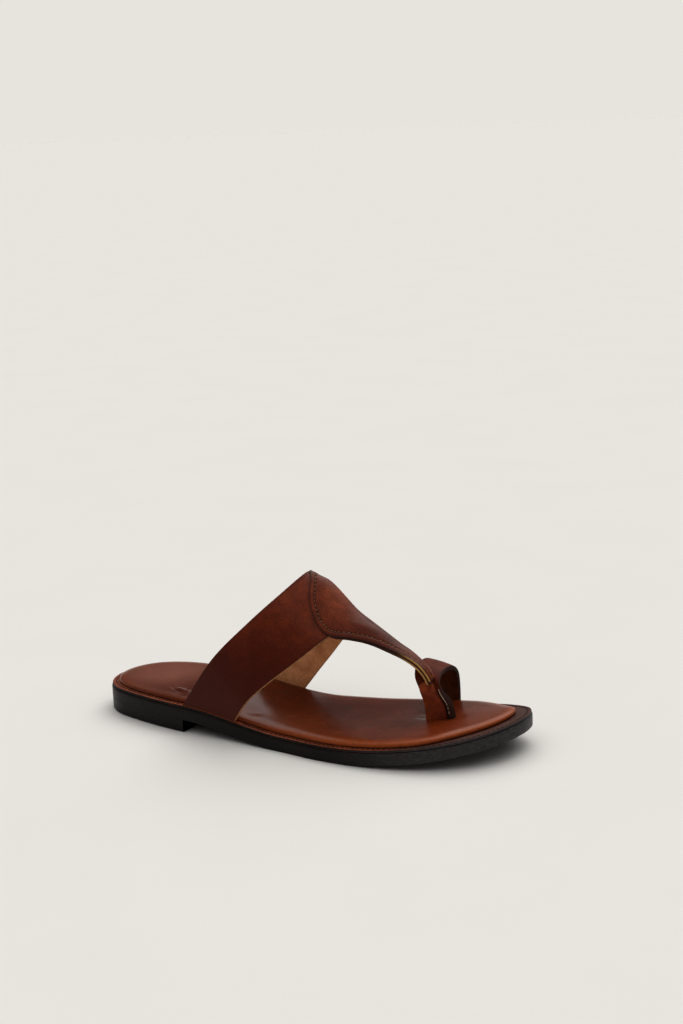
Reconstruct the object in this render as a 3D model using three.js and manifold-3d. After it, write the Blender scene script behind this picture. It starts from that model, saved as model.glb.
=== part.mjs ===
// A flat kolhapuri sandal for the right foot: a low stacked heel and a thin black outsole, a brown
// board that shows as a rim, a padded footbed, and an upper of one leather skin. The upper is a broad
// band over the instep, whose centre runs forward as a strap to the toe post, and a ring for the
// big toe. A second leather, the centre overlay, lies on the band and the strap.
//
// Millimetres. +X runs from heel to toe, +Y to the inner side of the foot, +Z up. The sandal stands
// on z = 0, and the origin is under the middle of its box. Every shape below is drawn with the back
// of the heel at x = 0 and moved to the origin at the end.
import * as THREE from 'three';
import Module from 'manifold-3d';

const wasm = await Module();
wasm.setup();

// ---- driving sizes ---------------------------------------------------------------------------
const LENGTH = 262;          // heel to toe tip
const HEEL_LENGTH = 71;      // back of the heel to the heel breast
const HEEL_HEIGHT = 7.4;     // underside of the outsole above the floor at the heel
const OUTSOLE_THICK = 6.8;
const BOARD_THICK = 1.3;
const TREAD_START = 141;     // flat part of the forefoot that stands on the floor
const TREAD_END = 158;
const TOE_SPRING = 11.5;     // underside of the toe tip above the floor
const GAP = 0.3;             // between two pieces that lie on each other

const FOOTBED_EDGE = 1.4;    // height of the footbed's side before it rolls over
const FOOTBED_ROLL = 2.0;    // height of the rolled edge
const FOOTBED_ROLL_WIDTH = 7;
const FOOTBED_CROWN = 0.5;   // further rise to the middle
const FOOTBED_INSET = { heel: 4.6, side: 3.8, toe: 9 };

const SKIN = 2.2;            // band and strap: leather and lining
const RING_SKIN = 2.4;       // toe ring
const POST_SKIN = 4.6;       // toe post, ring end and strap end together
const OVERLAY_SKIN = 1.5;    // centre overlay
const LEG_INSET = 1.0;       // the band's feet stand this far inside the edge of the sole
const FOOT_LENGTH = 4;       // cut away below each foot

// ---- small tools -----------------------------------------------------------------------------
const v3 = (x, y, z) => new THREE.Vector3(x, y, z);
const clamp01 = (t) => Math.min(1, Math.max(0, t));
const smooth = (t) => clamp01(t) ** 2 * (3 - 2 * clamp01(t));
const lerp = (a, b, t) => a + (b - a) * t;
const spread = (n) => Array.from({ length: n + 1 }, (_, i) => i / n);
// steps that crowd together at both ends
const crowded = (n) => spread(n).map((t) => (1 - Math.cos(Math.PI * t)) / 2);

// One closed BufferGeometry from corner points and faces: equal corners become one vertex, and
// faces that have shrunk to a line are dropped.
function closedGeometry(points, faces) {
  const slot = new Map();
  const position = [];
  const vertex = points.map((p) => {
    const key = [p.x, p.y, p.z].map((c) => Math.round(c * 2000)).join();
    if (!slot.has(key)) {
      slot.set(key, position.length / 3);
      position.push(p.x, p.y, p.z);
    }
    return slot.get(key);
  });
  const index = [];
  for (const face of faces) {
    const [a, b, c] = face.map((k) => vertex[k]);
    if (a !== b && b !== c && c !== a) index.push(a, b, c);
  }
  const geometry = new THREE.BufferGeometry();
  geometry.setAttribute('position', new THREE.Float32BufferAttribute(position, 3));
  geometry.setIndex(index);
  return geometry;
}

const toSolid = (geometry) => new wasm.Manifold(new wasm.Mesh({
  numProp: 3,
  vertProperties: new Float32Array(geometry.attributes.position.array),
  triVerts: new Uint32Array(geometry.index.array),
}));

function fromSolid(solid) {
  const { vertProperties, triVerts } = solid.getMesh();
  const geometry = new THREE.BufferGeometry();
  geometry.setAttribute('position', new THREE.BufferAttribute(new Float32Array(vertProperties), 3));
  geometry.setIndex(new THREE.BufferAttribute(new Uint32Array(triVerts), 1));
  return geometry;
}

// ---- the sole --------------------------------------------------------------------------------
// Edge of the sole seen from above, from the back of the heel along the outer side to the toe and
// back along the inner side. The toe is square with round corners and longest in front of the
// big toe.
const SOLE_EDGE = [
  { x: 0, y: 0 }, { x: 4, y: -14 }, { x: 14, y: -23.5 }, { x: 34, y: -30.5 }, { x: 68, y: -37 },
  { x: 105, y: -40 }, { x: 138, y: -42.5 }, { x: 168, y: -46 }, { x: 198, y: -45 },
  { x: 228, y: -36.5 }, { x: 248, y: -22 }, { x: 259, y: -4 }, { x: LENGTH, y: 14 },
  { x: 257, y: 29 }, { x: 241, y: 38.5 }, { x: 214, y: 43 }, { x: 188, y: 42.5 },
  { x: 160, y: 36.5 }, { x: 130, y: 30.5 }, { x: 100, y: 28.5 }, { x: 68, y: 31.5 },
  { x: 38, y: 33.5 }, { x: 14, y: 25.5 }, { x: 4, y: 14.5 },
];
const edgeCurve = new THREE.CatmullRomCurve3(
  SOLE_EDGE.map(({ x, y }) => v3(x, y, 0)), true, 'centripetal');
const edgePoints = edgeCurve.getPoints(480).slice(0, -1);

// The sole's edge moved inwards by inset(x).
function insetEdge(inset) {
  const n = edgePoints.length;
  return edgePoints.map((p, i) => {
    const along = edgePoints[(i + 1) % n].clone().sub(edgePoints[(i + n - 1) % n]).normalize();
    const d = inset(p.x);
    return v3(p.x - along.y * d, p.y + along.x * d, 0);
  });
}

// Outer and inner y of a closed edge at a station x.
function widthAt(edge, x) {
  let low = Infinity;
  let high = -Infinity;
  edge.forEach((a, i) => {
    const b = edge[(i + 1) % edge.length];
    if ((a.x - x) * (b.x - x) > 0) return;
    const y = a.x === b.x ? a.y : lerp(a.y, b.y, (x - a.x) / (b.x - a.x));
    low = Math.min(low, y);
    high = Math.max(high, y);
  });
  return [low, high];
}

const distanceTo = (edge, x, y) => Math.sqrt(edge.reduce(
  (best, p) => Math.min(best, (p.x - x) ** 2 + (p.y - y) ** 2), Infinity));

// Underside of the outsole: level over the heel, down through the arch, level under the ball and
// up again to the toe.
function underside(x) {
  if (x < HEEL_LENGTH) return HEEL_HEIGHT;
  if (x < TREAD_START) {
    return HEEL_HEIGHT * (1 - smooth((x - HEEL_LENGTH) / (TREAD_START - HEEL_LENGTH)));
  }
  return x < TREAD_END ? 0 : TOE_SPRING * ((x - TREAD_END) / (LENGTH - TREAD_END)) ** 2;
}
const boardUnder = (x) => underside(x) + OUTSOLE_THICK + GAP;
const boardTop = (x) => boardUnder(x) + BOARD_THICK;
const footbedUnder = (x) => boardTop(x) + GAP;

// A layer of the sole: a closed edge seen from above, between two heights. It is built on rows
// from heel to toe, with one at each change of the underside, and may stop at a straight cut.
const SOLE_MARKS = [HEEL_LENGTH, TREAD_START, TREAD_END];
function soleLayer(edge, low, high, { rows, columns, cutAt }) {
  const xs = edge.map((p) => p.x);
  const start = Math.min(...xs);
  const end = Math.max(...xs);
  const marks = SOLE_MARKS.filter((x) => !(x > cutAt));
  const stations = crowded(rows).map((t) => lerp(start, end, t))
    .filter((x) => !(x > cutAt) && marks.every((mark) => Math.abs(x - mark) > 2.5))
    .concat(marks).sort((a, b) => a - b);
  const points = [];
  const at = (i, j, top) => (i * (columns + 1) + j) * 2 + top;
  stations.forEach((x) => {
    const [outer, inner] = widthAt(edge, x);
    crowded(columns).forEach((t) => {
      const y = lerp(outer, inner, t);
      points.push(v3(x, y, low(x)), v3(x, y, high(x, y)));
    });
  });
  const faces = [];
  const quad = (a, b, c, d) => faces.push([a, b, c], [a, c, d]);
  const last = stations.length - 1;
  for (let i = 0; i < last; i++) {
    for (let j = 0; j < columns; j++) {
      quad(at(i, j, 1), at(i + 1, j, 1), at(i + 1, j + 1, 1), at(i, j + 1, 1));
      quad(at(i, j, 0), at(i, j + 1, 0), at(i + 1, j + 1, 0), at(i + 1, j, 0));
    }
    quad(at(i, 0, 0), at(i + 1, 0, 0), at(i + 1, 0, 1), at(i, 0, 1));
    quad(at(i, columns, 1), at(i + 1, columns, 1), at(i + 1, columns, 0), at(i, columns, 0));
  }
  for (let j = 0; j < columns; j++) {
    quad(at(last, j, 0), at(last, j + 1, 0), at(last, j + 1, 1), at(last, j, 1));
    quad(at(0, j, 1), at(0, j + 1, 1), at(0, j + 1, 0), at(0, j, 0));
  }
  return closedGeometry(points, faces);
}

function outsole() {
  return soleLayer(edgePoints, underside, (x) => underside(x) + OUTSOLE_THICK,
    { rows: 48, columns: 8 });
}

// The low heel block under the outsole, cut straight across at the breast.
function heel() {
  const edge = insetEdge(() => 0.4);
  return soleLayer(edge, () => 0, () => HEEL_HEIGHT - GAP,
    { rows: 40, columns: 8, cutAt: HEEL_LENGTH });
}

// The board between outsole and footbed. Its edge is the narrow rim along the sides and the wide
// flat rim around the toe.
function board() {
  return soleLayer(insetEdge(() => 0.5), boardUnder, boardTop, { rows: 48, columns: 8 });
}

// The padded footbed: a rolled edge all round and a slight crown.
const footbedInset = (x) => {
  const toHeel = smooth((34 - x) / 34);
  const toToe = smooth((x - 0.83 * LENGTH) / (0.13 * LENGTH));
  return FOOTBED_INSET.side + (FOOTBED_INSET.heel - FOOTBED_INSET.side) * toHeel
    + (FOOTBED_INSET.toe - FOOTBED_INSET.side) * toToe;
};
function footbedBlank() {
  const edge = insetEdge(footbedInset);
  const top = (x, y) => {
    const d = distanceTo(edge, x, y);
    const roll = Math.sqrt(1 - (1 - clamp01(d / FOOTBED_ROLL_WIDTH)) ** 2);
    return footbedUnder(x) + FOOTBED_EDGE + FOOTBED_ROLL * roll
      + FOOTBED_CROWN * smooth(d / 30);
  };
  return soleLayer(edge, footbedUnder, top, { rows: 44, columns: 16 });
}

// ---- the upper -------------------------------------------------------------------------------
// The upper's form is one skin. A row runs across the foot, from the outer side over the ridge of
// the instep to the inner side, and lane says where along it: 0 on the ridge, -1 and 1 where the
// strap's edges leave the band, -4 and 4 at the feet of the band.
const footHeight = (x) => boardTop(x) + GAP;
function bandFoot(x, side) {
  const [outer, inner] = widthAt(edgePoints, x);
  return v3(x, side < 0 ? outer + LEG_INSET : inner - LEG_INSET, footHeight(x));
}
// rear edge and front edge of the band
const BAND_REAR = [
  bandFoot(70, -1), v3(90, -32, 44), v3(109, -24.5, 64), v3(124, -13, 79.3),
  v3(132.5, 6.5, 89.6),
  v3(121, 18, 76), v3(106, 24.5, 61.5), v3(89, 29.5, 40.5), bandFoot(70, 1),
];
const BAND_FRONT = [
  bandFoot(106.5, -1), v3(115.6, -36.5, 24.5), v3(145, -24, 49.8), v3(157, -15.5, 60.5),
  v3(162, 4.5, 68.8),
  v3(150, 21, 54.5), v3(136.5, 26, 39), v3(122, 28, 22.5), bandFoot(112, 1),
];
// rows of the strap, from the band to its end on the toe post
const STRAP = [
  { outer: v3(167, -12, 59), ridge: v3(170.5, 4.5, 63.2), inner: v3(162, 17.5, 54) },
  { outer: v3(177, -7.6, 56.8), ridge: v3(180, 4.5, 57.8), inner: v3(174, 14, 50.8) },
  { outer: v3(187, -4.8, 53.2), ridge: v3(188.5, 4.2, 53), inner: v3(184.5, 12.2, 47.8) },
  { outer: v3(196.5, -3.8, 50), ridge: v3(197, 4, 48.8), inner: v3(194, 11, 44.6) },
  { outer: v3(204.5, -3.6, 46), ridge: v3(203.8, 3.4, 44.6), inner: v3(201.5, 9.2, 42) },
  { outer: v3(209.4, -3.4, 41.2), ridge: v3(208.8, 2.4, 40.4), inner: v3(207, 7, 39) },
  { outer: v3(212.2, -3, 36), ridge: v3(211.6, 1, 36), inner: v3(210.4, 4.8, 36) },
  { outer: v3(214.2, -1, 30.6), ridge: v3(213, 1.6, 31.2), inner: v3(211.4, 3.8, 32) },
];
const RIDGE_RISE = 2.5;      // the ridge bows up between the band's two edges
const BAND_MIDDLE = 0.45;    // where it does so most
const BAND_ROWS = 2;         // row 0 is the rear edge, row 1 the middle, row 2 the front edge

const bandCurve = (points) => new THREE.CatmullRomCurve3(points, false, 'centripetal');
const rear = bandCurve(BAND_REAR);
const front = bandCurve(BAND_FRONT);
function rowPoint(row, lane) {
  if (row === 0) return rear.getPoint((lane + 4) / 8);
  if (row === BAND_ROWS) return front.getPoint((lane + 4) / 8);
  if (row === 1) {
    const p = rear.getPoint((lane + 4) / 8).lerp(front.getPoint((lane + 4) / 8), BAND_MIDDLE);
    p.z += RIDGE_RISE * Math.max(0, 1 - lane * lane);
    return p;
  }
  const { outer, ridge, inner } = STRAP[row - BAND_ROWS - 1];
  return outer.clone().multiplyScalar((lane * lane - lane) / 2)
    .addScaledVector(ridge, 1 - lane * lane)
    .addScaledVector(inner, (lane * lane + lane) / 2);
}
const LAST_ROW = BAND_ROWS + STRAP.length;
const laneCurves = new Map();
function form(row, lane) {
  if (!laneCurves.has(lane)) {
    const rows = Math.abs(lane) > 1 ? BAND_ROWS : LAST_ROW;
    laneCurves.set(lane, new THREE.CatmullRomCurve3(
      Array.from({ length: rows + 1 }, (_, r) => rowPoint(r, lane)), false, 'centripetal'));
  }
  const rows = Math.abs(lane) > 1 ? BAND_ROWS : LAST_ROW;
  return laneCurves.get(lane).getPoint(clamp01(row / rows));
}

// A skin of leather from a grid of points: its right side is lift in front of the grid, its wrong
// side lift - thick(i, j). Cells whose corners are missing are left open, and walls close every edge.
function skin(grid, thick, lift = 0) {
  const here = (i, j) => grid[i]?.[j];
  const points = [];
  const slot = grid.map((row) => row.map(() => -1));
  grid.forEach((row, i) => row.forEach((p, j) => {
    if (!p) return;
    const alongA = here(i - 1, j) ?? p;
    const alongB = here(i + 1, j) ?? p;
    const acrossA = here(i, j - 1) ?? p;
    const acrossB = here(i, j + 1) ?? p;
    const normal = alongB.clone().sub(alongA).cross(acrossB.clone().sub(acrossA)).normalize();
    slot[i][j] = points.length;
    points.push(p.clone().addScaledVector(normal, lift),
      p.clone().addScaledVector(normal, lift - thick(i, j)));
  }));
  const faces = [];
  const edges = new Map();
  const loop = (corners) => corners.forEach((a, k) => {
    const b = corners[(k + 1) % corners.length];
    if (!edges.delete(`${b},${a}`)) edges.set(`${a},${b}`, [a, b]);
  });
  grid.forEach((row, i) => row.forEach((_, j) => {
    const corners = [[i, j], [i + 1, j], [i + 1, j + 1], [i, j + 1]].map(([a, b]) => slot[a]?.[b]);
    if (corners.some((c) => c === undefined || c < 0)) return;
    const [a, b, c, d] = corners;
    faces.push([a, b, c], [a, c, d], [a + 1, c + 1, b + 1], [a + 1, d + 1, c + 1]);
    loop(corners);
  }));
  for (const [a, b] of edges.values()) faces.push([b, a, a + 1], [b, a + 1, b + 1]);
  return closedGeometry(points, faces);
}

const BAND_LANES = [-4, -3.75, -3.5, -3, -2.6, -2.2, -1.8, -1.4, -1, -0.75, -0.5, -0.25, 0];
const lanes = [...BAND_LANES, ...BAND_LANES.slice(0, -1).reverse().map((lane) => -lane)];
const bandRows = spread(8).map((t) => t * BAND_ROWS);
const strapRows = spread(20).slice(1).map((t) => lerp(BAND_ROWS, LAST_ROW, t));

// Band and strap in one: the strap's rows have only the lanes between its edges. grow makes the
// skin fatter and longer all round.
function bandAndStrap(grow = 0) {
  const grid = [
    ...bandRows.map((row) => lanes.map((lane) => form(row, lane))),
    ...strapRows.map((row) => lanes.map((lane) => (
      Math.abs(lane) > 1 ? undefined : form(row, lane)))),
  ];
  const front = bandRows.length - 1;
  const pull = (p, q) => p.add(p.clone().sub(q).normalize().multiplyScalar(grow));
  lanes.forEach((lane, j) => {
    pull(grid[0][j], grid[1][j]);
    if (Math.abs(lane) > 1) pull(grid[front][j], grid[front - 1][j]);
  });
  bandRows.forEach((_, i) => {
    grid[i][0].z -= FOOT_LENGTH;
    grid[i][lanes.length - 1].z -= FOOT_LENGTH;
  });
  return skin(grid, () => SKIN + 2 * grow, grow);
}

// The toe ring: a strip from the toe post up over the big toe and down to the inner edge of the
// sole, between its rear and its front edge.
const POST_Y = 0.8;
const RING_REAR = [
  v3(206, POST_Y, footHeight(206)), v3(205, POST_Y, 23.5), v3(202.6, 0.6, 31), v3(199.4, 3.4, 37),
  v3(196.8, 10, 40.6), v3(195.4, 19.5, 41.4), v3(194, 30, 39.2), v3(191.2, 37.6, 33),
  v3(189.2, 40.6, 25), bandFoot(188, 1),
];
const RING_FRONT = [
  v3(224, POST_Y, footHeight(224)), v3(221.4, POST_Y, 23.5), v3(217.6, 0.4, 29.6), v3(214.8, 2.8, 34.8),
  v3(212.6, 9.4, 38.2), v3(211.4, 18.6, 38.8), v3(210.6, 29, 36.8), v3(209.6, 36.4, 31.4),
  v3(208.6, 40, 24), bandFoot(207.5, 1),
];
function toeRing(grow = 0) {
  const rearEdge = bandCurve(RING_REAR);
  const frontEdge = bandCurve(RING_FRONT);
  const steps = spread(30);
  const grid = steps.map((t) => {
    const a = rearEdge.getPoint(t);
    const b = frontEdge.getPoint(t);
    const side = b.clone().sub(a).normalize().multiplyScalar(grow);
    a.sub(side);
    b.add(side);
    return spread(4).map((u) => a.clone().lerp(b, u));
  });
  [grid[0], grid[grid.length - 1]].forEach((row) => row.forEach((p) => { p.z -= FOOT_LENGTH; }));
  const thick = (i) => lerp(POST_SKIN, RING_SKIN, smooth((steps[i] - 0.2) / 0.15)) + 2 * grow;
  // the grid runs up the post first, so its rows are turned to face outwards
  return skin(grid.map((row) => row.reverse()), thick, grow);
}

// All the feet are cut level with the board they stand on.
function upper() {
  const ground = soleLayer(insetEdge(() => -8), () => -9, footHeight, { rows: 64, columns: 1 });
  return fromSolid(toSolid(bandAndStrap()).add(toSolid(toeRing())).subtract(toSolid(ground)));
}

// The footbed keeps clear of the upper where the band, the ring and the post go down past it.
function footbed() {
  const clear = toSolid(bandAndStrap(GAP)).add(toSolid(toeRing(GAP)));
  return fromSolid(toSolid(footbedBlank()).subtract(clear));
}

// The centre overlay lies on the form: a point at the top of the band's rear edge, widening over the
// band to the strap's edges, then along the strap to its end.
const OVERLAY_START = 0.06;
const overlayReach = (row) => (
  row >= BAND_ROWS ? 1 : (1 - (1 - row / BAND_ROWS) ** 2) ** 1.15);
function overlay() {
  const rows = [...spread(14).map((t) => lerp(OVERLAY_START, BAND_ROWS, t)),
    ...strapRows.filter((row) => row < LAST_ROW - 0.9)];
  const grid = rows.map((row) => spread(12).map((t) => form(row, (2 * t - 1) * overlayReach(row))));
  return skin(grid, () => OVERLAY_SKIN, 1.5 * GAP + OVERLAY_SKIN);
}

// ---- the sandal ------------------------------------------------------------------------------
const leather = (color, roughness) => new THREE.MeshStandardMaterial({
  color, roughness, metalness: 0 });
const PIECES = [
  { name: 'outsole', build: outsole, material: leather(0x17120f, 0.5) },
  { name: 'heel', build: heel, material: leather(0x17120f, 0.55) },
  { name: 'board', build: board, material: leather(0x3a1d14, 0.6) },
  { name: 'footbed', build: footbed, material: leather(0x7a3a20, 0.4) },
  { name: 'upper', build: upper, material: leather(0x5a2415, 0.45) },
  { name: 'centre_overlay', build: overlay, material: leather(0x64291a, 0.4) },
];

const sandal = new THREE.Group();
sandal.name = 'kolhapuri_sandal';
const edgeY = edgePoints.map((p) => p.y);
const middleY = (Math.min(...edgeY) + Math.max(...edgeY)) / 2;
for (const { name, build, material } of PIECES) {
  const mesh = new THREE.Mesh(build(), material);
  mesh.name = name;
  mesh.geometry.translate(-LENGTH / 2, -middleY, 0);
  sandal.add(mesh);
}

export default sandal;
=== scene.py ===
# A flat kolhapuri sandal for the right foot, built up in the order a maker puts it together: black
# outsole and heel, stitched board, padded footbed, band and strap with its lining, toe ring and toe
# post, and the centre overlay sewn on top.
#
# The drawing sizes are millimetres from the back of the heel: +X to the toe, +Y to the inner side,
# +Z up from the floor. on_last() turns a drawing place into the frame's metres.
import math

import bpy
from mathutils import Matrix, Vector
from mathutils.bvhtree import BVHTree
from mathutils.kdtree import KDTree


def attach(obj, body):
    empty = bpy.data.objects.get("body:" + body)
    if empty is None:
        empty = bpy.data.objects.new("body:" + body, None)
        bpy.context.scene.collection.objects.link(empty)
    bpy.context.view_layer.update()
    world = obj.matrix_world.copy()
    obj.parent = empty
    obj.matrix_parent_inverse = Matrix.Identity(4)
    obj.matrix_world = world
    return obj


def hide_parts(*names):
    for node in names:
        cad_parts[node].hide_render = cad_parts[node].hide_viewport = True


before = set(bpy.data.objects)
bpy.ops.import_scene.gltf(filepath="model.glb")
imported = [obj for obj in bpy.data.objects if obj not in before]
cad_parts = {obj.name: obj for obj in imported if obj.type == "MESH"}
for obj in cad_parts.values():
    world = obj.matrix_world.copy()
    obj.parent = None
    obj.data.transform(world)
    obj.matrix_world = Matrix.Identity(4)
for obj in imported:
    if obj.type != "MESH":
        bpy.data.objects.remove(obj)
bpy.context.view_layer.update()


# ---- Outsole ------------------------------------------------------------------------------------
# A thin sheet of black sole rubber, cut to the outline of the foot and buffed round its edge. It
# is cemented under the board, stands on the heel block and springs up at the toe.
LENGTH = 262
HEEL_LENGTH = 71             # back of the heel to the heel breast
HEEL_HEIGHT = 7.4            # underside of the outsole above the floor at the heel
TREAD_START = 141            # the forefoot stands flat on the floor between these two
TREAD_END = 158
TOE_SPRING = 11.5
OUTSOLE_THICK = 6.8
SOLE_OUTLINE = [             # along the outer side to the toe and back along the inner side
    (0, 0), (4, -14), (14, -23.5), (34, -30.5), (68, -37), (105, -40), (138, -42.5), (168, -46),
    (198, -45), (228, -36.5), (248, -22), (259, -4), (262, 14), (257, 29), (241, 38.5),
    (214, 43), (188, 42.5), (160, 36.5), (130, 30.5), (100, 28.5), (68, 31.5), (38, 33.5),
    (14, 25.5), (4, 14.5)]
RING = 320                   # points round a sole layer
OUTLINE_STEPS = 960          # points on the outline before they are spaced evenly
GRID_SPAN = 40               # cells across the grid that closes a layer
GRID_OFFSET = 36             # the point of the ring where that grid has its first corner
TOE_SHEEN_SPAN = (0.035, 0.1)     # metres along X over which a painted sheen grows towards the toe


def clamp(t):
    return min(1, max(0, t))


def ease(t):
    return clamp(t) ** 2 * (3 - 2 * clamp(t))


def mix(a, b, t):
    return a + (b - a) * t


def spline(p0, p1, p2, p3, w):
    """The point at w, from 0 to 1, between p1 and p2 on the smooth curve through all four."""
    gaps = [max((b - a).length ** 0.5, 1e-4) for a, b in ((p0, p1), (p1, p2), (p2, p3))]
    before, here, after = gaps
    leave = ((p1 - p0) / before - (p2 - p0) / (before + here) + (p2 - p1) / here) * here
    arrive = ((p2 - p1) / here - (p3 - p1) / (here + after) + (p3 - p2) / after) * here
    return (p1 + leave * w + (3 * (p2 - p1) - 2 * leave - arrive) * w ** 2
            + (2 * (p1 - p2) + leave + arrive) * w ** 3)


def curve_through(knots, closed=False):
    """A smooth curve through the knots, as a function of t from 0 to 1."""
    knots = [Vector(k) for k in knots]
    spans = len(knots) if closed else len(knots) - 1

    def knot(i):
        if closed:
            return knots[i % spans]
        if i < 0:
            return 2 * knots[0] - knots[1]
        return knots[i] if i <= spans else 2 * knots[-1] - knots[-2]

    def at(t):
        i = min(int(t * spans), spans - 1)
        return spline(knot(i - 1), knot(i), knot(i + 1), knot(i + 2), t * spans - i)
    return at


def evenly(path, count):
    """count points, evenly spaced round a closed path."""
    closed = path + path[:1]
    lengths = [0]
    for a, b in zip(closed, closed[1:]):
        lengths.append(lengths[-1] + (b - a).length)
    points, i = [], 0
    for k in range(count):
        target = lengths[-1] * k / count
        while lengths[i + 1] < target:
            i += 1
        share = (target - lengths[i]) / (lengths[i + 1] - lengths[i])
        points.append(closed[i].lerp(closed[i + 1], share))
    return points


def inset_edge(edge, inset):
    """A closed edge moved inwards by inset(x)."""
    moved = []
    for i, p in enumerate(edge):
        along = (edge[(i + 1) % len(edge)] - edge[i - 1]).normalized()
        moved.append(p + Vector((-along.y, along.x, 0)) * inset(p.x))
    return moved


outline = curve_through([(x, y, 0) for x, y in SOLE_OUTLINE], closed=True)
sole_edge = evenly([outline(i / OUTLINE_STEPS) for i in range(OUTLINE_STEPS)], RING)
edge_y = [p.y for p in sole_edge]
MIDDLE_Y = (min(edge_y) + max(edge_y)) / 2


def on_last(x, y, z):
    """A drawing place in the frame's metres."""
    return Vector((x - LENGTH / 2, y - MIDDLE_Y, z)) / 1000


def underside(x):
    """Height of the outsole's underside: level at the heel, down to the tread, up to the toe."""
    if x < TREAD_START:
        drop = ease((x - HEEL_LENGTH) / (TREAD_START - HEEL_LENGTH))
        return HEEL_HEIGHT * (1 - drop)
    return TOE_SPRING * max(0, (x - TREAD_END) / (LENGTH - TREAD_END)) ** 2


def select_only(piece):
    bpy.ops.object.select_all(action="DESELECT")
    piece.select_set(True)
    bpy.context.view_layer.objects.active = piece


def select_points(piece, wanted):
    """Selects the points that wanted(co) picks, with the edges and faces between them."""
    mesh = piece.data
    for v in mesh.vertices:
        v.select = wanted(v.co)
    for part in (*mesh.edges, *mesh.polygons):
        part.select = all(mesh.vertices[i].select for i in part.vertices)


def sole_layer(name, edge, profile, bend, rise=lambda x, y: 0):
    """A layer of the sole. A ring is drawn up once for each (inset, height) of the profile, laid
    on the edge, closed below and above with a grid of faces and bent to bend(x). rise(x, y) is
    added to its upper side."""
    bpy.ops.object.select_all(action="DESELECT")
    bpy.ops.mesh.primitive_circle_add(vertices=RING, radius=1)
    piece = bpy.context.object
    piece.name = name
    bpy.ops.object.mode_set(mode="EDIT")
    for _ in profile[1:]:
        bpy.ops.mesh.extrude_region_move(TRANSFORM_OT_translate={"value": (0, 0, 1)})
    bpy.ops.object.mode_set(mode="OBJECT")
    rings = [inset_edge(edge, lambda x: inset) for inset, _ in profile]
    for v in piece.data.vertices:
        k = round(v.co.z)
        i = round(math.atan2(v.co.y, v.co.x) / math.tau * RING) % RING
        v.co = (rings[k][i].x, rings[k][i].y, k)
    for end in (0, len(profile) - 1):
        select_points(piece, lambda co: abs(co.z - end) < 0.1)
        bpy.ops.object.mode_set(mode="EDIT")
        bpy.ops.mesh.fill_grid(span=GRID_SPAN, offset=GRID_OFFSET)
        bpy.ops.object.mode_set(mode="OBJECT")
    for v in piece.data.vertices:
        k = round(v.co.z)
        height = profile[k][1] + bend(v.co.x)
        if k >= len(profile) / 2:
            height += rise(v.co.x, v.co.y)
        v.co = on_last(v.co.x, v.co.y, height)
    point_faces_out(piece)
    return piece


def point_faces_out(piece):
    select_only(piece)
    bpy.ops.object.mode_set(mode="EDIT")
    bpy.ops.mesh.select_all(action="SELECT")
    bpy.ops.mesh.normals_make_consistent(inside=False)
    bpy.ops.object.mode_set(mode="OBJECT")


def apply_modifiers(piece):
    select_only(piece)
    for modifier in list(piece.modifiers):
        bpy.ops.object.modifier_apply(modifier=modifier.name)


def smooth_shade(piece, angle=40):
    select_only(piece)
    bpy.ops.object.shade_smooth_by_angle(angle=math.radians(angle))


def new_material(name):
    material = bpy.data.materials.new(name)
    material.use_nodes = True
    return material


def node(material, kind, settings=(), **sockets):
    """Adds a node with its settings and gives its outputs. A socket, by its name or as _0 for the
    first one, takes a number, a colour or another node's output."""
    tree = material.node_tree
    made = tree.nodes.new(kind)
    for key, value in dict(settings).items():
        setattr(made, key, value)
    for key, value in sockets.items():
        socket = made.inputs[int(key[1:])] if key[1:].isdigit() else made.inputs[key]
        if isinstance(value, bpy.types.NodeSocket):
            tree.links.new(value, socket)
        else:
            socket.default_value = value
    return made.outputs


def ramp(material, factor, *stops):
    """A colour that changes along factor, through stops of (place, colour)."""
    outputs = node(material, "ShaderNodeValToRGB", _0=factor)
    elements = outputs[0].node.color_ramp.elements
    while len(elements) < len(stops):
        elements.new(0.5)
    for element, (place, colour) in zip(elements, stops):
        element.position = place
        element.color = (*colour, 1)
    return outputs["Color"]


def between(material, value, low, high, to_low=0.0, to_high=1.0):
    """value, from low to high, turned smoothly into to_low to to_high."""
    return node(material, "ShaderNodeMapRange", {"interpolation_type": "SMOOTHSTEP"}, _0=value,
                _1=low, _2=high, _3=to_low, _4=to_high)[0]


def own_place(material):
    return node(material, "ShaderNodeTexCoord")["Object"]


def stretched(material, place, scale):
    return node(material, "ShaderNodeMapping", Vector=place, Scale=scale)[0]


def axis(material, place, name):
    return node(material, "ShaderNodeSeparateXYZ", _0=place)[name]


def maths(material, way, a, b=0.0):
    return node(material, "ShaderNodeMath", {"operation": way}, _0=a, _1=b)[0]


def noise(material, place, size, detail=3, roughness=0.55):
    """Cloudy noise whose patches are about size millimetres across."""
    return node(material, "ShaderNodeTexNoise", Vector=place, Scale=1000 / size, Detail=detail,
                Roughness=roughness)["Fac"]


def blend(material, amount, a, b, way="MIX"):
    return node(material, "ShaderNodeMix", {"data_type": "RGBA", "blend_type": way},
                _0=amount, _6=a, _7=b)[2]


def bumps(material, *layers):
    """Bump nodes in a chain, from (height, depth in millimetres, strength)."""
    normal = None
    for height, depth, strength in layers:
        sockets = {"Height": height, "Distance": depth / 1000, "Strength": strength}
        if normal:
            sockets["Normal"] = normal
        normal = node(material, "ShaderNodeBump", **sockets)["Normal"]
    return normal


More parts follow.
